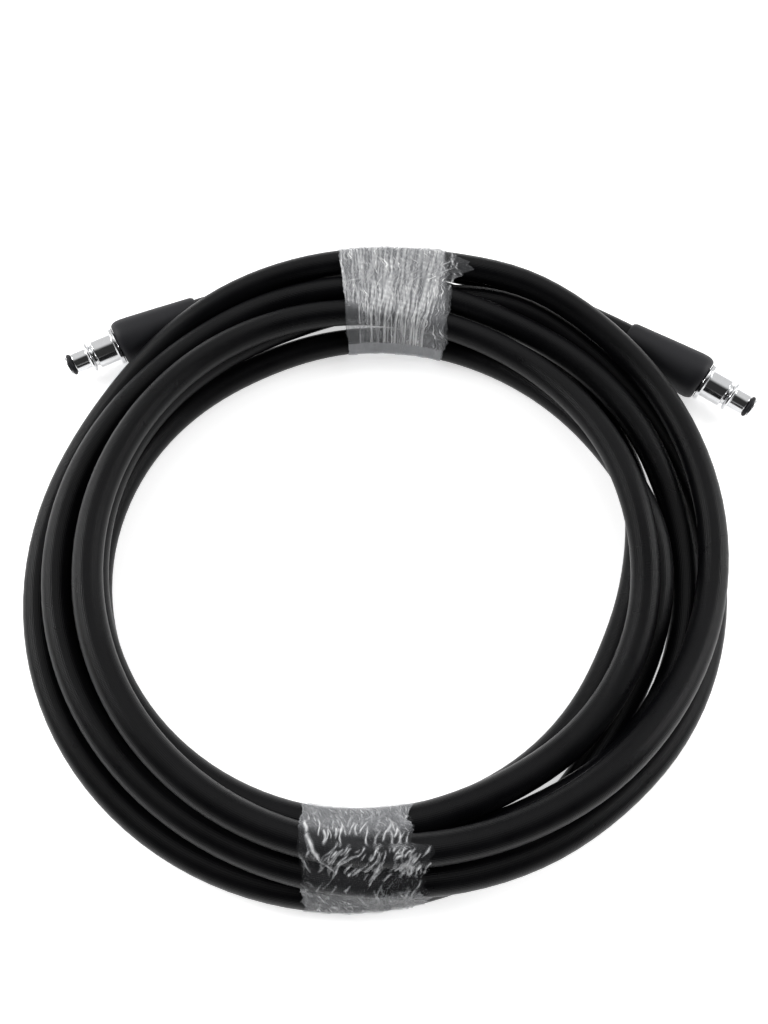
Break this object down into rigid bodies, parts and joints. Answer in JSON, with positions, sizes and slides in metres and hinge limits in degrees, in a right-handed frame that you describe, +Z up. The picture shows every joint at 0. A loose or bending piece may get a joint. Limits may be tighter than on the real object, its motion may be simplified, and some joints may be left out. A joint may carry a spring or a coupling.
{
  "type": "pressure washer hose",
  "caption": "Black rubber high-pressure hose wound in a loose flat coil, with a tapered boot and a plated O-ring plug on each end and clear stretch film holding the turns.",
  "frame": {"origin": "middle of the bounding box, on the floor the coil lies on", "axes": "+Z up from the floor through the coil's bore, +X from the left plug towards the right plug, +Y towards the film wrap between the two plugs"},
  "size_m": [0.3426, 0.3086, 0.0397],
  "materials": {
    "hose_rubber": "satin black with a faint cloth impression",
    "boot_rubber": "smooth matt black",
    "plated_steel": "bright plating",
    "o_ring_rubber": "matt black",
    "stretch_film": "clear stretch film, creased"
  },
  "bodies": {
    "root": {"hose": "hose_rubber", "boot_left": "boot_rubber", "boot_right": "boot_rubber", "plug_left": "plated_steel", "plug_right": "plated_steel", "o_ring_left": "o_ring_rubber", "o_ring_right": "o_ring_rubber", "film_wrap_top": "stretch_film", "film_wrap_bottom": "stretch_film"}
  },
  "joints": []
}
